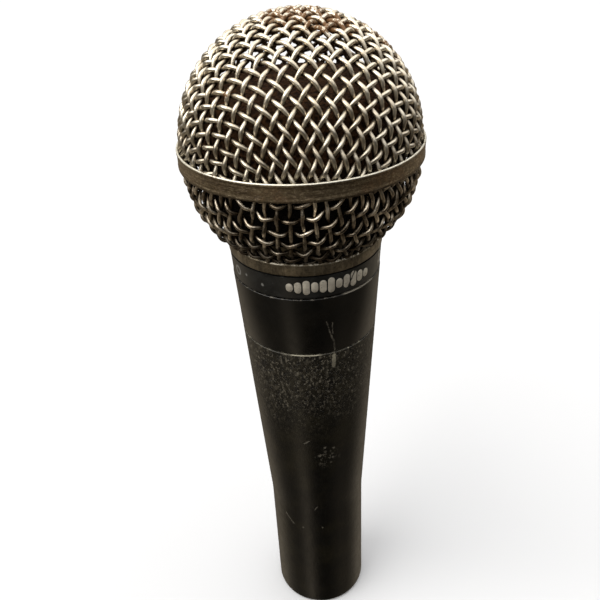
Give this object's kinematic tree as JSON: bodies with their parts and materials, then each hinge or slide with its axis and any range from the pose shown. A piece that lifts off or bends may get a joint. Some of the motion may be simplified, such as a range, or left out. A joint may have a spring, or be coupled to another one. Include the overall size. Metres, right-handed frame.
{
  "type": "dynamic microphone",
  "caption": "Handheld dynamic vocal microphone with a woven-wire ball grille that unscrews from a tapered black handle with a three-pin connector in its end.",
  "frame": {"origin": "centre of the connector end, on the plane that the microphone stands on", "axes": "+Z along the microphone's axis from the connector end to the top of the grille, -Y towards the front with the nameplate emblem, +X to the right seen from the front"},
  "size_m": [0.051, 0.051, 0.163],
  "materials": {
    "scuffed_enamel": "black enamel over a die casting, scuffed and speckled",
    "satin_black": "smooth satin black",
    "nameplate_ink": "dark blue-black with a worn silver emblem",
    "connector_metal": "nickel plated",
    "insulator_black": "moulded",
    "contact_silver": "silver plated",
    "screw_steel": "blackened steel",
    "lamination_steel": "stacked laminations",
    "enamelled_copper": "enamelled copper winding",
    "cradle_plastic": "cream moulding",
    "wire_green": "insulated wire",
    "wire_yellow": "insulated wire",
    "wire_red": "insulated wire",
    "wire_black": "insulated wire",
    "wire_white": "insulated wire",
    "mount_rubber": "soft black rubber",
    "chamber_plastic": "moulded",
    "cartridge_alloy": "turned",
    "terminal_paper": "phenolic paper board",
    "lug_tin": "tinned",
    "pole_iron": "soft iron",
    "magnet_alloy": "cast magnet alloy",
    "voice_coil_copper": "fine copper winding",
    "diaphragm_film": "clear amber film",
    "clamp_alloy": "turned",
    "resonator_plastic": "moulded",
    "screen_cloth": "woven cloth disc",
    "seal_rubber": "black rubber",
    "collar_bronze": "dark bronze, worn",
    "worn_nickel": "tarnished nickel-plated woven wire with some rust",
    "band_bronze": "scratched bronze-grey ring",
    "foam_brown": "aged open-cell foam"
  },
  "bodies": {
    "handle": {"handle_casting": "scuffed_enamel", "head_sleeve": "satin_black", "nameplate_band": "nameplate_ink", "xlr_shell": "connector_metal", "xlr_insulator": "insulator_black", "xlr_pin_1": "contact_silver", "xlr_pin_2": "contact_silver", "xlr_pin_3": "contact_silver", "xlr_set_screw": "screw_steel", "transformer_core": "lamination_steel", "transformer_coil": "enamelled_copper", "transformer_cradle": "cradle_plastic", "lead_green": "wire_green", "lead_yellow": "wire_yellow", "lead_red": "wire_red", "lead_black": "wire_black", "lead_white": "wire_white", "shock_mount": "mount_rubber"},
    "seal": {"grille_seal_ring": "seal_rubber"},
    "grille": {"grille_collar": "collar_bronze", "grille_bowl": "worn_nickel", "grille_band": "band_bronze", "grille_dome": "worn_nickel", "foam_windscreen": "foam_brown"},
    "cartridge": {"rear_chamber": "chamber_plastic", "cartridge_housing": "cartridge_alloy", "terminal_board": "terminal_paper", "terminal_lug_left": "lug_tin", "terminal_lug_right": "lug_tin", "magnet_yoke": "pole_iron", "magnet": "magnet_alloy", "pole_piece": "pole_iron", "top_plate": "pole_iron", "clamp_ring": "clamp_alloy", "resonator_cap": "resonator_plastic", "cap_screen": "screen_cloth"},
    "diaphragm": {"voice_coil": "voice_coil_copper", "diaphragm": "diaphragm_film"}
  },
  "joints": [
    {"name": "grille_rise", "type": "slide", "parent": "handle", "child": "seal", "axis": [0, 0, 1], "range_m": [0, 0.00525]},
    {"name": "grille_turn", "type": "hinge", "parent": "seal", "child": "grille", "pos_m": [0, 0, 0.1146], "axis": [0, 0, 1], "range_deg": [0, 1259.9]},
    {"name": "cartridge_float", "type": "slide", "parent": "handle", "child": "cartridge", "axis": [0, 0, 1], "range_m": [-0.0006, 0.0006], "stiffness_N_per_m": 2000, "deforming": ["shock_mount", "lead_black", "lead_white"]},
    {"name": "diaphragm_travel", "type": "slide", "parent": "cartridge", "child": "diaphragm", "axis": [0, 0, 1], "range_m": [-0.0002, 0.0002], "stiffness_N_per_m": 100}
  ],
  "couplings": [
    {"joint": "grille_rise", "follows": "grille_turn", "m_per_rad": 0.00023873}
  ]
}
